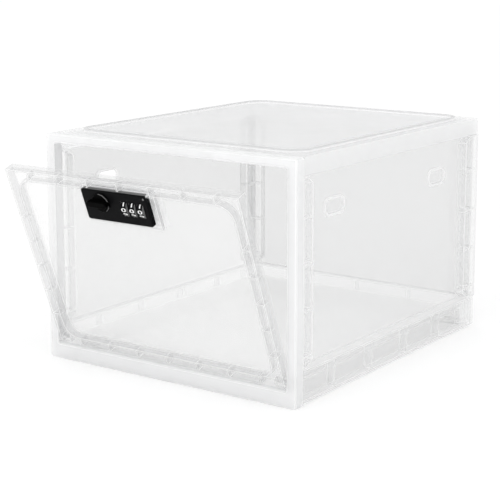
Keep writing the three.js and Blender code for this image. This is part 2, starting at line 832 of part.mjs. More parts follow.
// Cam: a tongue from the hub, pointing left while the box is unlocked.
function cam() {
  const half = camWidth / 2;
  const tip = knobX - camLength + half;
  const tongue = new THREE.Shape();
  tongue.moveTo(tip, knobZ - half);
  tongue.lineTo(knobX, knobZ - half);
  tongue.lineTo(knobX, knobZ + half);
  tongue.lineTo(tip, knobZ + half);
  tongue.absarc(tip, knobZ, half, Math.PI / 2, 1.5 * Math.PI, false);
  const hub = prism(circle(knobX, knobZ, camHubRadius), "y", camFront, camBack);
  const bore = prism(
    circle(knobX, knobZ, spindleRadius + seatGap),
    "y",
    camFront - cutOverrun,
    camBack + cutOverrun,
  );
  return cut(prism(tongue, "y", camFront, camBack).add(hub), [bore]);
}

function resetPin() {
  const front = plateFront - resetPinProud;
  const bevel = resetPinProud * resetPinBevelShare;
  return prism(circle(resetX, resetZ, resetPinRadius), "y", front, front + resetPinLength, bevel, 1);
}

const housing = new THREE.Group();
housing.add(
  mesh("front_frame", frontFrame(), frosted),
  mesh("base_panel", basePanel(), clear),
  mesh("top_panel", topPanel(), clear),
  mesh("right_side_panel", sidePanel(1), clear),
  mesh("left_side_panel", sidePanel(-1), clear),
  mesh("rear_panel", rearPanel(), clear),
);

const door = new THREE.Group();
door.add(
  mesh("door_panel", doorPanel(), clear),
  mesh("hinge_pin_right", hingePin(), steel),
  mesh("hinge_pin_left", hingePin().mirror([1, 0, 0]), steel),
  mesh("lock_plate", lockPlate(), black),
  mesh("lock_body", lockBody(), white),
  mesh("lock_bracket", lockBracket(), white),
  mesh("dial_shaft", dialShaft(), steel),
  ...dialXs.map((x, i) => mesh("dial_" + (i + 1), dial(x), black)),
  mesh("detent_spring", detentSpring(), steel),
  mesh("knob", knob(), black),
  mesh("cam", cam(), steel),
  ...screwXs.map((x, i) => mesh("bracket_screw_" + (i + 1), bracketScrew(x), steel)),
  mesh("cam_screw", camScrew(), steel),
  mesh("reset_pin", resetPin(), steel),
);
door.rotation.x = doorAngle;
door.position.set(0, hingeDepth, hingeHeight);
housing.add(door);

// The box stands with the middle of its bounding box over the origin.
const doorReach = hingeDepth - doorBack * Math.cos(doorAngle) - doorTop * Math.sin(doorAngle);
housing.position.y = -(housingDepth + doorReach) / 2;

const box = new THREE.Group();
box.add(housing);

export default box;
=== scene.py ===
"""Medication lock box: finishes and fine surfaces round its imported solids, in metres."""
import json
import math

import bmesh
import bpy
from mathutils import Matrix, Vector


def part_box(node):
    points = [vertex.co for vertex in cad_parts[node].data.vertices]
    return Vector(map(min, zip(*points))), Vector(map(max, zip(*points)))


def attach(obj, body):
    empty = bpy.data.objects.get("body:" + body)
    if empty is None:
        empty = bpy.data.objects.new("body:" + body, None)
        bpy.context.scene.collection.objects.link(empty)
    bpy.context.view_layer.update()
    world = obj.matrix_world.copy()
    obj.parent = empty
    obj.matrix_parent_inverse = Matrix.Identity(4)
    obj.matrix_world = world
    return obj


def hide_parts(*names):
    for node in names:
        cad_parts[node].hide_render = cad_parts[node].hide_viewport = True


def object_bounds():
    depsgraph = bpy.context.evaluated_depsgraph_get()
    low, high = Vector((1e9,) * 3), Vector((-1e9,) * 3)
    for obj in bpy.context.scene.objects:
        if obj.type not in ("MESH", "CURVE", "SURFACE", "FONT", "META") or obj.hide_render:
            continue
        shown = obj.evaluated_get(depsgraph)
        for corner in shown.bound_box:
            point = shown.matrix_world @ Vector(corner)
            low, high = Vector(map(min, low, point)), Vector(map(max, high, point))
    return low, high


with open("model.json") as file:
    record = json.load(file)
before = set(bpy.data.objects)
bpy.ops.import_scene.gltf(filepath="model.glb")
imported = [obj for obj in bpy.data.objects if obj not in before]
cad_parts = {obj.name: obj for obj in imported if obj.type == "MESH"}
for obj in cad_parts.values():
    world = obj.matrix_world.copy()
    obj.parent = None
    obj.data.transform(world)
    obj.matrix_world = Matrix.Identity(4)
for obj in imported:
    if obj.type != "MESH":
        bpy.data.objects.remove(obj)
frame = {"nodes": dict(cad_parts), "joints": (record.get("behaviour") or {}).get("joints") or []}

cad_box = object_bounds()

# From the frame: the joint that moves each body, and the front frame's upper right corner.
joints = {joint["child"]: joint for joint in frame["joints"]}
frame_corner = Vector(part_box("front_frame")[1])

MM = 0.001

# Camera: a long lens from the front right, above the lid, with a slight fall of the frame.
IMAGE_SIZE = 500
SENSOR_WIDTH = 36.0
FOCAL_PIXELS = 1427.07
CAMERA_PLACE = Vector((0.794497, -1.123421, 0.40171))
CAMERA_AZIMUTH = math.radians(35.3375)
CAMERA_ELEVATION = math.radians(9.9819)
CAMERA_ROLL = math.radians(-0.0199)
CAMERA_FALL_PIXELS = 60
CAMERA_REACH = 60.0

# Light: radiance of sky and floor, power of the lamps in watts, and how far light is followed.
SKY_LIGHT = 0.98
SKY_SEEN = 1.05
FLOOR_SIZE = 60.0
FLOOR_DROP = 0.2 * MM
FLOOR_GLOW = 0.14
FLOOR_GREY = 0.9
LAMP_SIZE = 0.8
LAMP_AIM = Vector((0, 0, 0.1))
KEY_LAMP = (Vector((0.2, -2.1, 0.5)), 8)
FILL_LAMP = (Vector((2.0, -0.4, 0.5)), 2)
LIGHT_BOUNCES = 16
CLEAR_LAYERS = 64

# Finishes, as linear colours.
SHEET_TINT = (0.93, 0.933, 0.936)
# Painted shade: a darker copy of the sheet tint, for the left and rear panels.
PAINTED_SHADE_SHEET_TINT = (0.5, 0.503, 0.506)
# Painted shade: a darker copy of the sheet tint, for the base's upright walls.
PAINTED_SHADE_BASE_WALL_TINT = (0.68, 0.683, 0.686)
# Painted shade: a darker copy of the web tint, for the door's channel walls.
PAINTED_SHADE_DOOR_WEB_TINT = (0.7, 0.703, 0.706)
WEB_TINT = (0.9, 0.903, 0.906)
CLEAR_TINT = (1.0, 1.0, 1.0)
SHADE_TINT = (0.52, 0.525, 0.53)
MILKY_TINT = (0.97, 0.972, 0.975)
WHITE_TINT = (0.92, 0.92, 0.91)
BLACK_TINT = (0.004, 0.004, 0.0045)
DEEP_BLACK_TINT = (0.001, 0.001, 0.001)
# Painted highlight: a lighter black for the lock plate's top and right-facing edges and the knob
# disc's right and upper edge.
PAINTED_HIGHLIGHT_BLACK_TINT = (0.12, 0.12, 0.12)
STEEL_TINT = (0.85, 0.855, 0.865)
# Grey: the dull steel's own colour, and a painted highlight on the dials' right ends.
GREY_TINT = (0.22, 0.22, 0.22)

# Clear mouldings: tint, haze, roughness, and whether a face shines at grazing angles.
CLEAR_LOOKS = {
    # Painted highlight: thin rims and rounded edges get a white, nearly opaque finish that stands in
    # for the light along them.
    "rim": (CLEAR_TINT, 0.8, 0.25, True),
    "web": (WEB_TINT, 0.2, 0.2, False),
    "door_web": (PAINTED_SHADE_DOOR_WEB_TINT, 0.24, 0.2, False),
    "sheet": (SHEET_TINT, 0.19, 0.12, True),
    "dim_sheet": (PAINTED_SHADE_SHEET_TINT, 0.2, 0.12, True),
    "top_sheet": (SHEET_TINT, 0.15, 0.12, False),
    # Painted light: the base's floor gets a whiter, milkier finish than the side sheets, which
    # lightens the shade seen through it.
    "base_sheet": (CLEAR_TINT, 0.38, 0.12, False),
    "base_wall": (PAINTED_SHADE_BASE_WALL_TINT, 0.2, 0.12, True),
    "door_sheet": (CLEAR_TINT, 0.24, 0.12, True),
    "shade": (SHADE_TINT, 0.35, 0.2, False),
}
# The top panel's rims and ridge: white and half opaque, a painted highlight, with painted shade over
# the ridge's top.
RIDGE_HAZE = 0.5
RIDGE_ROUGHNESS = 0.25
RIDGE_SHADE_DEPTH = 1.8 * MM
RIDGE_SHADE_HEIGHT = cad_box[1][2] - RIDGE_SHADE_DEPTH

# Haze of the milky frame and of the pale nylon pieces of the lock.
MILKY_HAZE = 0.62
PALE_HAZE = 0.42

# Opaque mouldings: tint, roughness and sheen.
SOLID_LOOKS = {
    "digit_white": (WHITE_TINT, 0.35, 0.4),
    "satin_black": (BLACK_TINT, 0.3, 0.04),
    "deep_black": (DEEP_BLACK_TINT, 0.3, 0.02),
    "painted_highlight_black": (PAINTED_HIGHLIGHT_BLACK_TINT, 0.3, 0.2),
    "dial_end_highlight": (GREY_TINT, 0.35, 0.3),
}

# Gloss of plastic: what a face mirrors when seen squarely, and how fast that grows to grazing.
SQUARE_GLOSS = 0.04
GLOSS_POWER = 5
PLASTIC_IOR = 1.49
NEUTRAL_BLEND = 0.5

# Shares of that gloss in a shiny face's mirror image and in another face's cover at grazing.
SHINE_SHARE = 0.5
SHINE_ROUGHNESS = 0.12
GRAZING_COVER = 0.4

# How much of a see-through face's body lets light in from behind.
DEPTH_SHARE = 0.5

# Texture of the clear moulding: bumps per metre, and how far they change the finish.
NOISE_MEAN = 0.5
CLEAR_CLOUDS = 14
FLOW_LINES = 45
FLOW_STRETCH = (1, 1, 0.12)
FINE_SCRATCHES = 900
SCRATCH_STRETCH = (0.05, 1, 1)
FLOW_BUMP_SHARE = 0.9
SKIN_BUMP = 0.01 * MM
TINT_SPREAD = 0.02
CLEAR_ROUGHNESS_SPREAD = 0.05
CLOUD_HAZE = 0.03
SCRATCH_HAZE = 0.012
SHADE_SHARPNESS = 4000

# Texture of the milky moulding.
MILKY_CLOUDS = 22
MILKY_GRAIN = 1800
MILKY_ROUGHNESS = 0.34
MILKY_CLOUD_ROUGHNESS = 0.08
GRAIN_ROUGHNESS = 0.06
MILKY_CLOUD_HAZE = 0.05

# Texture of the opaque mouldings.
SOLID_GRAIN = 2600
RUBBED_PATCHES = 160
RUBBED_DARK = 0.85
RUBBED_LIGHT = 1.2
RUBBED_ROUGHNESS = 0.14
GRAIN_BUMP = 0.04 * MM

# Texture of the steel.
STEEL_BRUSHING = 1400
BRUSHING_STRETCH = (0.04, 1, 1)
STEEL_CLOUDS = 90
STEEL_DARK = 0.9
STEEL_LIGHT = 1.12
STEEL_ROUGHNESS = 0.2
BRUSHED_ROUGHNESS = 0.16
BRUSHED_BUMP = 0.02 * MM

# The door, ajar by this angle at rest.
DOOR_ANGLE = math.radians(-joints["door"]["range_deg"][0])
DOOR_FRONT = Vector((0, -math.cos(DOOR_ANGLE), -math.sin(DOOR_ANGLE)))

# Moulded edges: radii, and the share of a strip's width that its rounding may take.
EDGE_ROUND = 0.35 * MM
DOOR_EDGE_ROUND = 0.3 * MM
KNOB_EDGE_ROUND = 0.25 * MM
LOCK_EDGE_ROUND = 0.2 * MM
SMALL_EDGE_ROUND = 0.12 * MM
ROUND_SHARE = 0.24
ROUND_STEPS = 2
SHADE_WEIGHT = 80
EDGE_ANGLE = math.radians(34)
FLAT_ANGLE = math.radians(0.4)
MERGE_DISTANCE = 0.01 * MM

# Pieces with a flat face that runs all the way round a hole.
RINGS = ("front_frame", "lock_plate", "cam")

# Pieces whose flat faces have corners inside them.
SPLIT_FACES = ("base_panel",)

# Kinds of faces, told apart by width, place and the cosine between their normal and a direction.
RIM_WIDTH = 3.2 * MM
WEB_WIDTH = 13 * MM
ALONG = 0.8
HALF_TURNED = 0.5
SKIRT_THICKNESS = 2 * MM
SKIRT_DEPTH = 10 * MM
STILE_WIDTH = 10 * MM
STILE_ALONG = 0.9
FRAME_ROUND_FROM = 0.1
FRAME_ROUND_TO = 0.97
PLATE_TOP = 0.6
DIAL_END = 0.3
# The knob's disc edge with a painted highlight: how steep its faces are, and how far right and up
# they turn.
DISC_EDGE_FROM = 0.2
DISC_EDGE_TO = 0.95
HIGHLIGHT_FROM_X = -0.1
HIGHLIGHT_FROM_Z = -0.75

# Digits on the dials.
DIALS = ("first_dial", "second_dial", "third_dial")
DIAL_RADIUS = 8.6 * MM
DIGIT_COUNT = 10
DIGIT_HEIGHT = 3.7 * MM
FONT_SIZE_PER_HEIGHT = 1.4
POINTS_PER_HEIGHT = 19
DIGIT_STRETCH = 2.1
DIGIT_SWELL = 0.05 * MM
DIGIT_RELIEF = 0.08 * MM
DIGIT_ROOT = 0.4 * MM
DIGIT_MERGE = 0.001 * MM


class Wire:
    """An output of a node. Arithmetic on it adds Math nodes, or Vector Math nodes on vectors."""

    def __init__(self, graph, socket):
        self.graph = graph
        self.socket = socket

    def maths(self, operation, first, second):
        kinds = [value.socket.type for value in (first, second) if isinstance(value, Wire)]
        kind = "ShaderNodeVectorMath" if "VECTOR" in kinds else "ShaderNodeMath"
        return self.graph.node(kind, {"operation": operation}, {0: first, 1: second})

    def __add__(self, other):
        return self.maths("ADD", self, other)

    def __radd__(self, other):
        return self.maths("ADD", other, self)

    def __sub__(self, other):
        return self.maths("SUBTRACT", self, other)

    def __rsub__(self, other):
        return self.maths("SUBTRACT", other, self)

    def __mul__(self, other):
        return self.maths("MULTIPLY", self, other)

    def __rmul__(self, other):
        return self.maths("MULTIPLY", other, self)

    def __truediv__(self, other):
        return self.maths("DIVIDE", self, other)

    def __pow__(self, other):
        return self.maths("POWER", self, other)

    def side(self, name):
        """Another output of the same node."""
        return Wire(self.graph, self.socket.node.outputs[name])


class Graph:
    """A node tree that is built node by node."""

    def __init__(self, tree):
        self.tree = tree

    def node(self, kind, settings=None, inputs=None, output=0):
        made = self.tree.nodes.new(kind)
        for name, value in (settings or {}).items():
            setattr(made, name, value)
        for name, value in (inputs or {}).items():
            if isinstance(value, Wire):
                self.tree.links.new(value.socket, made.inputs[name])
            else:
                made.inputs[name].default_value = value
        return Wire(self, made.outputs[output]) if made.outputs else None


class Finish(Graph):
    """A material that is built node by node."""

    def __init__(self, name):
        self.material = bpy.data.materials.new(name)
        self.material.use_nodes = True
        self.material.node_tree.nodes.clear()
        super().__init__(self.material.node_tree)
        self.place = self.node("ShaderNodeTexCoord", output="Object")

    def noise(self, scale, detail=3, stretch=(1, 1, 1)):
        """Noise on Object coordinates, with scale in bumps per metre."""
        inputs = {"Vector": self.place * stretch, "Scale": scale, "Detail": detail}
        return self.node("ShaderNodeTexNoise", {}, inputs)

    def blend(self, factor, first, second):
        """A colour between two colours."""
        inputs = {0: factor, 6: (*first, 1), 7: (*second, 1)}
        return self.node("ShaderNodeMix", {"data_type": "RGBA"}, inputs, output=2)

    def bump(self, height, distance):
        return self.node("ShaderNodeBump", {}, {"Height": height, "Distance": distance})

    def gloss(self):
        """How much a smooth face mirrors: a twenty-fifth when seen squarely, all at grazing."""
        facing = self.node("ShaderNodeLayerWeight", {}, {"Blend": NEUTRAL_BLEND}, output="Facing")
        return SQUARE_GLOSS + facing ** GLOSS_POWER * (1 - SQUARE_GLOSS)

    def principled(self, **values):
        inputs = {name.replace("_", " "): value for name, value in values.items()}
        return self.node("ShaderNodeBsdfPrincipled", {}, inputs)

    def see_through(self, skin, tint, cover, mirror=None):
        """A surface that covers only part of what is behind it and lets light in from both sides."""
        depth = self.node("ShaderNodeBsdfTranslucent", {}, {"Color": (*tint, 1)})
        body = self.node("ShaderNodeMixShader", {}, {0: DEPTH_SHARE, 1: skin, 2: depth})
        opening = self.node("ShaderNodeBsdfTransparent")
        whole = self.node("ShaderNodeMixShader", {}, {0: cover, 1: opening, 2: body})
        if mirror:
            shine = self.node("ShaderNodeBsdfGlossy", {}, {"Roughness": SHINE_ROUGHNESS})
            whole = self.node("ShaderNodeMixShader", {}, {0: mirror, 1: whole, 2: shine})
        return self.surface(whole)

    def surface(self, shader):
        self.node("ShaderNodeOutputMaterial", {}, {"Surface": shader})
        return self.material


def scaled(colour, share):
    """A darker or lighter colour, at most white."""
    return tuple(min(1.0, part * share) for part in colour)


def clear_plastic(name, tint, haze, roughness, shiny=False, shaded_above=None):
    """Clear moulding: haze in clouds, faint flow lines, and fine rubbed scratches.

    At grazing angles a shiny face mirrors its surroundings, and another shows more of its tint.
    """
    finish = Finish(name)
    cloud = finish.noise(CLEAR_CLOUDS, 2)
    flow = finish.noise(FLOW_LINES, 3, FLOW_STRETCH)
    scratch = finish.noise(FINE_SCRATCHES, 2, SCRATCH_STRETCH)
    light = scaled(tint, 1 + TINT_SPREAD)
    dark = scaled(tint, 1 - TINT_SPREAD)
    share = cloud
    if shaded_above:
        height = finish.node("ShaderNodeSeparateXYZ", {}, {0: finish.place}, output=2)
        above = (height - shaded_above) * SHADE_SHARPNESS
        share = finish.node("ShaderNodeClamp", {}, {0: 1 - above})
        dark = SHADE_TINT
    relief = flow * FLOW_BUMP_SHARE + scratch * (1 - FLOW_BUMP_SHARE)
    skin = finish.principled(
        Base_Color=finish.blend(share, dark, light),
        Roughness=roughness + flow * CLEAR_ROUGHNESS_SPREAD + scratch * CLEAR_ROUGHNESS_SPREAD,
        Normal=finish.bump(relief, SKIN_BUMP),
        IOR=PLASTIC_IOR,
    )
    cover = haze + (cloud - NOISE_MEAN) * CLOUD_HAZE + (scratch - NOISE_MEAN) * SCRATCH_HAZE
    if shiny:
        return finish.see_through(skin, tint, cover, finish.gloss() * SHINE_SHARE)
    return finish.see_through(skin, tint, cover + finish.gloss() * GRAZING_COVER)


def milky_plastic(name, haze):
    """Milky moulding with a fine eroded texture."""
    finish = Finish(name)
    cloud = finish.noise(MILKY_CLOUDS, 3)
    grain = finish.noise(MILKY_GRAIN, 2)
    dark = scaled(MILKY_TINT, 1 - TINT_SPREAD)
    light = scaled(MILKY_TINT, 1 + TINT_SPREAD)
    skin = finish.principled(
        Base_Color=finish.blend(cloud, dark, light),
        Roughness=MILKY_ROUGHNESS + cloud * MILKY_CLOUD_ROUGHNESS + grain * GRAIN_ROUGHNESS,
        Normal=finish.bump(grain, SKIN_BUMP),
        IOR=PLASTIC_IOR,
    )
    return finish.see_through(skin, MILKY_TINT, haze + (cloud - NOISE_MEAN) * MILKY_CLOUD_HAZE)


def solid_plastic(name, tint, roughness, sheen):
    """Opaque moulding with a fine eroded texture and rubbed patches."""
    finish = Finish(name)
    grain = finish.noise(SOLID_GRAIN, 3)
    rubbed = finish.noise(RUBBED_PATCHES, 3)
    shader = finish.principled(
        Base_Color=finish.blend(rubbed, scaled(tint, RUBBED_DARK), scaled(tint, RUBBED_LIGHT)),
        Roughness=roughness + rubbed * RUBBED_ROUGHNESS + grain * GRAIN_ROUGHNESS,
        Normal=finish.bump(grain, GRAIN_BUMP),
        Specular_IOR_Level=sheen,
    )
    return finish.surface(shader)


def plated_steel(name, tint):
    """Plated steel with fine brushing."""
    finish = Finish(name)
    brushed = finish.noise(STEEL_BRUSHING, 3, BRUSHING_STRETCH)
    cloud = finish.noise(STEEL_CLOUDS, 2)
    shader = finish.principled(
        Base_Color=finish.blend(cloud, scaled(tint, STEEL_DARK), scaled(tint, STEEL_LIGHT)),
        Metallic=1.0,
        Roughness=STEEL_ROUGHNESS + brushed * BRUSHED_ROUGHNESS,
        Normal=finish.bump(brushed, BRUSHED_BUMP),
    )
    return finish.surface(shader)


def face_groups(mesh):
    """Groups of faces that meet at less than the edge angle, each as a flat or a smooth curve."""
    mesh.faces.ensure_lookup_table()
    group_of = {}
    groups = []
    for start in mesh.faces:
        if start in group_of:
            continue
        members = [start]
        group_of[start] = len(groups)
        for face in members:
            for edge in face.edges:
                if edge.calc_face_angle(math.pi) >= EDGE_ANGLE:
                    continue
                for other in edge.link_faces:
                    if other not in group_of:
                        group_of[other] = len(groups)
                        members.append(other)
        groups.append(members)
    return groups, group_of


def group_width(members, group_of):
    """Mean width of a strip of faces."""
    own = group_of[members[0]]
    area = sum(face.calc_area() for face in members)
    outline = 0.0
    for face in members:
        for edge in face.edges:
            if any(group_of[other] != own for other in edge.link_faces):
                outline += edge.calc_length()
    return 2 * area / max(outline, MERGE_DISTANCE)


def part_ring(mesh):
    """Seams through the middle of a ring, so that no flat face runs all the way round its hole."""
    low = [min(vert.co[axis] for vert in mesh.verts) for axis in range(3)]
    high = [max(vert.co[axis] for vert in mesh.verts) for axis in range(3)]
    middle = (Vector(low) + Vector(high)) / 2
    for across in (Vector((1, 0, 0)), Vector((0, 0, 1))):
        parts = mesh.verts[:] + mesh.edges[:] + mesh.faces[:]
        cut = bmesh.ops.bisect_plane(mesh, geom=parts, plane_co=middle, plane_no=across)
        for part in cut["geom_cut"]:
            if isinstance(part, bmesh.types.BMEdge):
                part.seam = True


def lies_flat(vert):
    """Whether a vertex lies inside a flat face."""
    return all(edge.calc_face_angle(math.pi) < FLAT_ANGLE for edge in vert.link_edges)


def whole_faces(name):
    """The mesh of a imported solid, with its triangles joined into whole flat faces."""
    mesh = bmesh.new()
    mesh.from_mesh(frame["nodes"][name].data)
    bmesh.ops.remove_doubles(mesh, verts=mesh.verts, dist=MERGE_DISTANCE)
    if name in RINGS:
        part_ring(mesh)
    bmesh.ops.dissolve_limit(
        mesh,
        angle_limit=FLAT_ANGLE,
        verts=mesh.verts,
        edges=mesh.edges,
        delimit={"SEAM"},
    )
    if name in SPLIT_FACES:
        inside = [vert for vert in mesh.verts if lies_flat(vert)]
        bmesh.ops.dissolve_verts(mesh, verts=inside)
    return mesh


def softened(name, looks, sort=None, round_by=EDGE_ROUND, edge_look=1):
    """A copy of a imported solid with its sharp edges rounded, and a look for each kind of face."""
    mesh = whole_faces(name)
    groups, group_of = face_groups(mesh)
    widths = []
    for members in groups:
        width = group_width(members, group_of)
        widths.append(width)
        for face in members:
            face.material_index = sort(width, face.normal, face.calc_center_median()) if sort else 0
            face.smooth = True
    weight = mesh.edges.layers.float.new("bevel_weight_edge")
    for edge in mesh.edges:
        if edge.calc_face_angle(0) < EDGE_ANGLE or len(edge.link_faces) != 2:
            continue
        room = min(widths[group_of[face]] for face in edge.link_faces)
        edge[weight] = min(round_by, ROUND_SHARE * room) / round_by
    copy = bpy.data.meshes.new(name + "_moulded")
    mesh.to_mesh(copy)
    mesh.free()
    for look in looks:
        copy.materials.append(look)
    draft = bpy.data.objects.new(name + "_draft", copy)
    bpy.context.scene.collection.objects.link(draft)
    bevel = draft.modifiers.new("round", "BEVEL")
    bevel.limit_method = "WEIGHT"
    bevel.width = round_by
    bevel.segments = ROUND_STEPS
    bevel.use_clamp_overlap = False
    bevel.loop_slide = False
    bevel.material = edge_look
    shade = draft.modifiers.new("shade", "WEIGHTED_NORMAL")
    shade.weight = SHADE_WEIGHT
    piece = plain_copy(draft, name + "_moulded")
    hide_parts(name)
    return piece


def plain_copy(draft, name):
    """The finished mesh of an object with modifiers, as an object of its own."""
    graph = bpy.context.evaluated_depsgraph_get()
    data = bpy.data.meshes.new_from_object(draft.evaluated_get(graph), depsgraph=graph)
    piece = bpy.data.objects.new(name, data)
    bpy.context.scene.collection.objects.link(piece)
    bpy.data.objects.remove(draft)
    return piece


def panel_sort(direction):
    """Sorts faces of a clear panel: 0 for sheet, 1 for thin rims, which carry a painted highlight, 2
    for webs across the panel.
    """

    def sort(width, normal, centre):
        if width < RIM_WIDTH:
            return 1
        if width > WEB_WIDTH or abs(normal.dot(direction)) > ALONG:
            return 0
        return 2

    return sort


def base_sort(width, normal, centre):
    """Sorts faces of the base: 3 for its upright walls, which carry painted shade, the others as on
    a panel.
    """
    if abs(normal.z) < HALF_TURNED and width > WEB_WIDTH:
        return 3
    return panel_sort(Vector((0, 0, 1)))(width, normal, centre)


def top_sort(width, normal, centre):
    """Sorts faces of the top panel: 3 for its skirt's outside, 4 for the skirt's lower edge."""
    outside = max(abs(centre.x), centre.y) > frame_corner.x - SKIRT_THICKNESS
    if outside and abs(normal.z) < HALF_TURNED and width > WEB_WIDTH:
        return 3
    if normal.z < -HALF_TURNED and width < RIM_WIDTH and centre.z < frame_corner.z - SKIRT_DEPTH:
        return 4
    return panel_sort(Vector((0, 0, 1)))(width, normal, centre)


def frame_sort(width, normal, centre):
    """Sorts faces of the front frame: 1 for its round edges, which carry a painted highlight, 2 for
    the sides of its opening, which carry painted shade.
    """
    if abs(normal.x) > STILE_ALONG and abs(centre.x) < frame_corner.x - STILE_WIDTH:
        return 2
    if FRAME_ROUND_FROM < abs(normal.y) < FRAME_ROUND_TO:
        return 1
    return 0


def plate_sort(width, normal, centre):
    """Sorts faces of the lock plate: 1, a painted highlight, for its top and for narrow faces that
    look to the right.
    """
    if normal.z > PLATE_TOP or (width < RIM_WIDTH and normal.x > ALONG):
        return 1
    return 0


def dial_sort(width, normal, centre):
    """Sorts faces of a dial: 1 for its right end, which carries a painted highlight."""
    return 1 if normal.x > DIAL_END else 0


def knob_sort(width, normal, centre):
    """Sorts faces of the knob: 1 for the right and upper part of the disc's edge, which carries a
    painted highlight.
    """
    slope = abs(normal.dot(DOOR_FRONT))
    if width < RIM_WIDTH and DISC_EDGE_FROM < slope < DISC_EDGE_TO:
        if normal.x > HIGHLIGHT_FROM_X and normal.z > HIGHLIGHT_FROM_Z:
            return 1
    return 0


def builtin_font():
    """The plain font that comes with Blender."""
    sample = bpy.data.curves.new("font_sample", "FONT")
    font = sample.font
    font.use_fake_user = True
    bpy.data.curves.remove(sample)
    return font


def flat_digit(graph, given, index):
    """The filled outline of the digit with this index, a little swollen."""
    text = graph.node("FunctionNodeValueToString", {"data_type": "INT"}, {"Value": index})
    settings = {"font": builtin_font(), "align_x": "CENTER", "align_y": "MIDDLE"}
    size = given.side("Digit Height") * FONT_SIZE_PER_HEIGHT
    outline = graph.node("GeometryNodeStringToCurves", settings, {"String": text, "Size": size})
    outline = graph.node("GeometryNodeRealizeInstances", {}, {"Geometry": outline})
    inputs = {"Curve": outline, "Length": given.side("Digit Height") / POINTS_PER_HEIGHT}
    outline = graph.node("GeometryNodeResampleCurve", {"mode": "LENGTH"}, inputs)
    along = graph.node("GeometryNodeInputTangent")
    settings = {"operation": "CROSS_PRODUCT"}
    outward = graph.node("ShaderNodeVectorMath", settings, {0: along, 1: (0, 0, 1)})
    inputs = {0: outward, "Scale": given.side("Swell")}
    grown = graph.node("ShaderNodeVectorMath", {"operation": "SCALE"}, inputs)
    outline = graph.node("GeometryNodeSetPosition", {}, {"Geometry": outline, "Offset": grown})
    return graph.node("GeometryNodeFillCurve", {}, {"Curve": outline})


def raised_digit(graph, given, flat):
    """A closed solid above a flat digit, as deep as its relief and its root."""
    depth = given.side("Relief") + given.side("Root")
    inputs = {"Mesh": flat, "Offset Scale": depth, "Individual": False}
    raised = graph.node("GeometryNodeExtrudeMesh", {"mode": "FACES"}, inputs)
    under = graph.node("GeometryNodeFlipFaces", {}, {"Mesh": flat})
    both = graph.node("GeometryNodeJoinGeometry", {}, {0: raised})
    graph.tree.links.new(under.socket, both.socket.node.inputs[0])
    inputs = {0: both, "Distance": DIGIT_MERGE}
    return graph.node("GeometryNodeMergeByDistance", {}, inputs)


def bent_digit(graph, given, solid, index):
    """A raised digit bent round the wheel, at the place of its index."""
    place = graph.node("GeometryNodeInputPosition")
    parts = graph.node("ShaderNodeSeparateXYZ", {}, {0: place})
    radius = given.side("Wheel Radius")
    turn = index * (-math.tau / DIGIT_COUNT) + given.side("Front Angle")
    angle = turn - parts.side("Y") / radius
    reach = radius - given.side("Root") + parts.side("Z")
    sine = graph.node("ShaderNodeMath", {"operation": "SINE"}, {0: angle})
    cosine = graph.node("ShaderNodeMath", {"operation": "COSINE"}, {0: angle})
    across = parts.side("X") * given.side("Stretch")
    inputs = {0: across, 1: reach * cosine, 2: reach * sine}
    bent = graph.node("ShaderNodeCombineXYZ", {}, inputs)
    return graph.node("GeometryNodeSetPosition", {}, {"Geometry": solid, "Position": bent})


def digit_tree(values):
    """Geometry Nodes tree: raised digits from 0 up, laid round a wheel about the X axis."""
    tree = bpy.data.node_groups.new("dial_digits", "GeometryNodeTree")
    face = tree.interface
    face.new_socket("Geometry", in_out="OUTPUT", socket_type="NodeSocketGeometry")
    kinds = {int: "NodeSocketInt", float: "NodeSocketFloat"}
    for name, value in values.items():
        kind = kinds.get(type(value), "NodeSocketMaterial")
        face.new_socket(name, in_out="INPUT", socket_type=kind)
    graph = Graph(tree)
    given = graph.node("NodeGroupInput")
    start = graph.node("GeometryNodeRepeatInput", {}, {"Iterations": given.side("Count")})
    stop = tree.nodes.new("GeometryNodeRepeatOutput")
    start.socket.node.pair_with_output(stop)
    index = start.side("Iteration")
    flat = flat_digit(graph, given, index)
    digit = bent_digit(graph, given, raised_digit(graph, given, flat), index)
    sofar = graph.node("GeometryNodeJoinGeometry", {}, {0: start.side("Geometry")})
    tree.links.new(digit.socket, sofar.socket.node.inputs[0])
    tree.links.new(sofar.socket, stop.inputs["Geometry"])
    inputs = {"Geometry": Wire(graph, stop.outputs["Geometry"])}
    whole = graph.node("GeometryNodeRealizeInstances", {}, inputs)
    inputs = {"Geometry": whole, "Material": given.side("Material")}
    whole = graph.node("GeometryNodeSetMaterial", {}, inputs)
    graph.node("NodeGroupOutput", {}, {"Geometry": whole})
    return tree


def dial_digits(tree, values, body):
    """The digits of a dial, round the axis of its joint."""
    data = bpy.data.meshes.new("digits")
    draft = bpy.data.objects.new("digits_draft", data)
    bpy.context.scene.collection.objects.link(draft)
    modifier = draft.modifiers.new("digits", "NODES")
    modifier.node_group = tree
    for item in tree.interface.items_tree:
        if item.in_out == "INPUT":
            modifier[item.identifier] = values[item.name]
    piece = plain_copy(draft, body + "_digits")
    piece.data.transform(Matrix.Translation(joints[body]["pos_m"]))
    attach(piece, body)


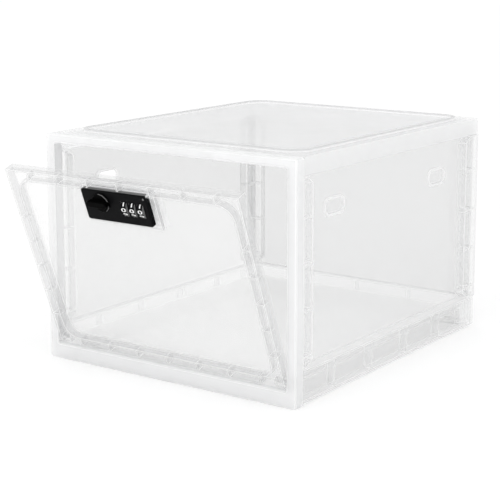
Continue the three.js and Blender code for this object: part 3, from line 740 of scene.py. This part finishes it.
def make_floor():
    """Pale floor that shows plain white and still keeps the object's shadow."""
    bpy.ops.mesh.primitive_plane_add(size=FLOOR_SIZE, location=(0, 0, -FLOOR_DROP))
    floor = bpy.context.object
    floor.name = "floor"
    finish = Finish("floor")
    path = finish.node("ShaderNodeLightPath", output="Is Camera Ray")
    seen = path + path.side("Is Glossy Ray") + path.side("Is Transmission Ray")
    grey = (FLOOR_GREY, FLOOR_GREY, FLOOR_GREY, 1)
    diffuse = finish.node("ShaderNodeBsdfDiffuse", {}, {"Color": grey})
    inputs = {"Color": (1, 1, 1, 1), "Strength": seen * FLOOR_GLOW}
    glow = finish.node("ShaderNodeEmission", {}, inputs)
    both = finish.node("ShaderNodeAddShader", {}, {0: diffuse, 1: glow})
    floor.data.materials.append(finish.surface(both))


def make_sky():
    """Even sky that lights the object softly and looks white behind it."""
    world = bpy.data.worlds.new("sky")
    world.use_nodes = True
    bpy.context.scene.world = world
    world.node_tree.nodes.clear()
    graph = Graph(world.node_tree)
    path = graph.node("ShaderNodeLightPath", output="Is Camera Ray")
    seen = path.maths("MAXIMUM", path, path.side("Is Glossy Ray"))
    seen = path.maths("MAXIMUM", seen, path.side("Is Transmission Ray"))
    strength = SKY_LIGHT + seen * (SKY_SEEN - SKY_LIGHT)
    inputs = {"Color": (1, 1, 1, 1), "Strength": strength}
    background = graph.node("ShaderNodeBackground", {}, inputs)
    graph.node("ShaderNodeOutputWorld", {}, {"Surface": background})


def make_lamp(name, place, power):
    """Soft square lamp that is aimed at the object."""
    data = bpy.data.lights.new(name, "AREA")
    data.shape = "SQUARE"
    data.size = LAMP_SIZE
    data.energy = power
    lamp = bpy.data.objects.new(name, data)
    lamp.location = place
    lamp.rotation_euler = (LAMP_AIM - place).to_track_quat("-Z", "Y").to_euler()
    bpy.context.scene.collection.objects.link(lamp)


def make_camera():
    """Camera at the photo's angle."""
    data = bpy.data.cameras.new("camera")
    data.lens = FOCAL_PIXELS * SENSOR_WIDTH / IMAGE_SIZE
    data.sensor_width = SENSOR_WIDTH
    data.shift_y = -CAMERA_FALL_PIXELS / IMAGE_SIZE
    data.clip_end = CAMERA_REACH
    camera = bpy.data.objects.new("camera", data)
    turn = (
        Matrix.Rotation(CAMERA_AZIMUTH, 4, "Z")
        @ Matrix.Rotation(math.pi / 2 - CAMERA_ELEVATION, 4, "X")
        @ Matrix.Rotation(CAMERA_ROLL, 4, "Z")
    )
    camera.matrix_world = Matrix.Translation(CAMERA_PLACE) @ turn
    bpy.context.scene.collection.objects.link(camera)
    bpy.context.scene.camera = camera


scene = bpy.context.scene
scene.view_settings.view_transform = "Standard"
scene.cycles.max_bounces = LIGHT_BOUNCES
scene.cycles.transparent_max_bounces = CLEAR_LAYERS

make_camera()
make_sky()
make_floor()
make_lamp("key_lamp", *KEY_LAMP)
make_lamp("fill_lamp", *FILL_LAMP)

clear = {name: clear_plastic("clear_" + name, *look) for name, look in CLEAR_LOOKS.items()}
clear["ridge"] = clear_plastic(
    "clear_ridge", CLEAR_TINT, RIDGE_HAZE, RIDGE_ROUGHNESS, shaded_above=RIDGE_SHADE_HEIGHT
)
milky = milky_plastic("milky_plastic", MILKY_HAZE)
pale = milky_plastic("pale_nylon", PALE_HAZE)
solid = {name: solid_plastic(name, *look) for name, look in SOLID_LOOKS.items()}
steel = plated_steel("plated_steel", STEEL_TINT)
dull_steel = plated_steel("dull_steel", GREY_TINT)

# Side and rear panels of the housing, and the door.
panels = {
    "right_side_panel": (Vector((1, 0, 0)), "housing", "sheet", "web", EDGE_ROUND),
    # The left and rear panels carry painted shade in their sheets.
    "left_side_panel": (Vector((1, 0, 0)), "housing", "dim_sheet", "web", EDGE_ROUND),
    "rear_panel": (Vector((0, 1, 0)), "housing", "dim_sheet", "web", EDGE_ROUND),
    # The door's channel walls carry painted shade.
    "door_panel": (DOOR_FRONT, "door", "door_sheet", "door_web", DOOR_EDGE_ROUND),
}
for name, (direction, body, sheet, web, round_by) in panels.items():
    looks = [clear[sheet], clear["rim"], clear[web]]
    piece = softened(name, looks, panel_sort(direction), round_by)
    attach(piece, body)

# Base, with painted shade on its upright walls.
# Painted light on the base's floor, in a whiter, milkier sheet finish.
looks = [clear["base_sheet"], clear["rim"], clear["web"], clear["base_wall"]]
base = softened("base_panel", looks, base_sort)
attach(base, "housing")

# Top.
looks = [clear["top_sheet"], clear["ridge"], clear["web"], milky, clear["shade"]]
top = softened("top_panel", looks, top_sort)
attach(top, "housing")

# Front frame.
front = softened("front_frame", [milky, clear["rim"], clear["shade"]], frame_sort)
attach(front, "housing")

# Lock. The first look of a piece also covers its rounded edges.
black = solid["satin_black"]
plate_looks = [black, solid["painted_highlight_black"]]
dial_looks = [black, solid["dial_end_highlight"]]
knob_looks = [solid["deep_black"], solid["painted_highlight_black"]]
lock_pieces = {
    "lock_plate": (plate_looks, "door", "black_plastic", LOCK_EDGE_ROUND, plate_sort),
    "lock_body": ([pale], "door", "white_plastic", SMALL_EDGE_ROUND, None),
    "lock_bracket": ([pale], "door", "white_plastic", LOCK_EDGE_ROUND, None),
    "knob": (knob_looks, "turn_knob", "black_plastic", KNOB_EDGE_ROUND, knob_sort),
    "dial_1": (dial_looks, "first_dial", "black_plastic", SMALL_EDGE_ROUND, dial_sort),
    "dial_2": (dial_looks, "second_dial", "black_plastic", SMALL_EDGE_ROUND, dial_sort),
    "dial_3": (dial_looks, "third_dial", "black_plastic", SMALL_EDGE_ROUND, dial_sort),
    "cam": ([steel], "turn_knob", "steel", SMALL_EDGE_ROUND, None),
    "reset_pin": ([dull_steel], "reset_button", "steel", SMALL_EDGE_ROUND, None),
}
for name, (looks, body, slot, round_by, sort) in lock_pieces.items():
    piece = softened(name, looks, sort, round_by, edge_look=0)
    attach(piece, body)

# Pins, screws, shaft and spring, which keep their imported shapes.
for name in (
    "hinge_pin_right",
    "hinge_pin_left",
    "dial_shaft",
    "detent_spring",
    "bracket_screw_1",
    "bracket_screw_2",
    "cam_screw",
):
    node = frame["nodes"][name]
    node.data.materials.clear()
    node.data.materials.append(steel)

# Digits.
digit_values = {
    "Count": DIGIT_COUNT,
    "Wheel Radius": DIAL_RADIUS,
    "Digit Height": DIGIT_HEIGHT,
    "Stretch": DIGIT_STRETCH,
    "Swell": DIGIT_SWELL,
    "Relief": DIGIT_RELIEF,
    "Root": DIGIT_ROOT,
    "Front Angle": math.pi + DOOR_ANGLE,
    "Material": solid["digit_white"],
}
tree = digit_tree(digit_values)
for body in DIALS:
    dial_digits(tree, digit_values, body)
